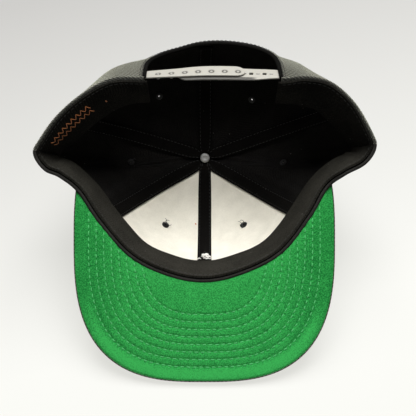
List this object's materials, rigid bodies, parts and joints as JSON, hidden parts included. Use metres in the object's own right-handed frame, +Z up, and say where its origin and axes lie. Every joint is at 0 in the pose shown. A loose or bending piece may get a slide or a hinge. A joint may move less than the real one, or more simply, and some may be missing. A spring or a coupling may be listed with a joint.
{
  "type": "flat-brimmed snapback cap lying upside down",
  "caption": "Snapback cap resting upside down on its flat brim and crown, with panelled crown, sweatband, seam tapes, rear arch and plastic snap strap.",
  "frame": {"origin": "middle of the box of the cap, on the surface that it rests on", "axes": "+X to the wearer's right, the widest way; +Z up from the surface; the brim's front edge points to -Y"},
  "size_m": [0.2394, 0.2372, 0.1379],
  "materials": {
    "crown_cloth": "black wool-blend twill",
    "green_cloth": "green brim cloth with parallel stitching",
    "buckram": "white stiffened cotton",
    "band_cloth": "dark brushed twill",
    "tape_cloth": "dark ribbed tape",
    "thread": "black stitched thread",
    "strap_plastic": "off-white flexible plastic",
    "rivet_metal": "dull silver"
  },
  "bodies": {
    "root": {"brim_top": "crown_cloth", "brim_under": "green_cloth", "panel_front_left": "crown_cloth", "panel_front_right": "crown_cloth", "panel_side_left": "crown_cloth", "panel_side_right": "crown_cloth", "panel_rear_left": "crown_cloth", "panel_rear_right": "crown_cloth", "buckram_left": "buckram", "buckram_right": "buckram", "sweatband": "band_cloth", "crown_hem": "crown_cloth", "tape_front": "tape_cloth", "tape_front_left": "tape_cloth", "tape_front_right": "tape_cloth", "tape_rear_left": "tape_cloth", "tape_rear_right": "tape_cloth", "tape_rear": "tape_cloth", "arch_binding": "crown_cloth", "eyelet_front_left": "thread", "eyelet_front_right": "thread", "eyelet_side_left": "thread", "eyelet_side_right": "thread", "eyelet_rear_left": "thread", "eyelet_rear_right": "thread", "button_cover": "crown_cloth", "button_rivet": "rivet_metal", "strap_pegs": "strap_plastic", "strap_holes": "strap_plastic"}
  },
  "joints": []
}
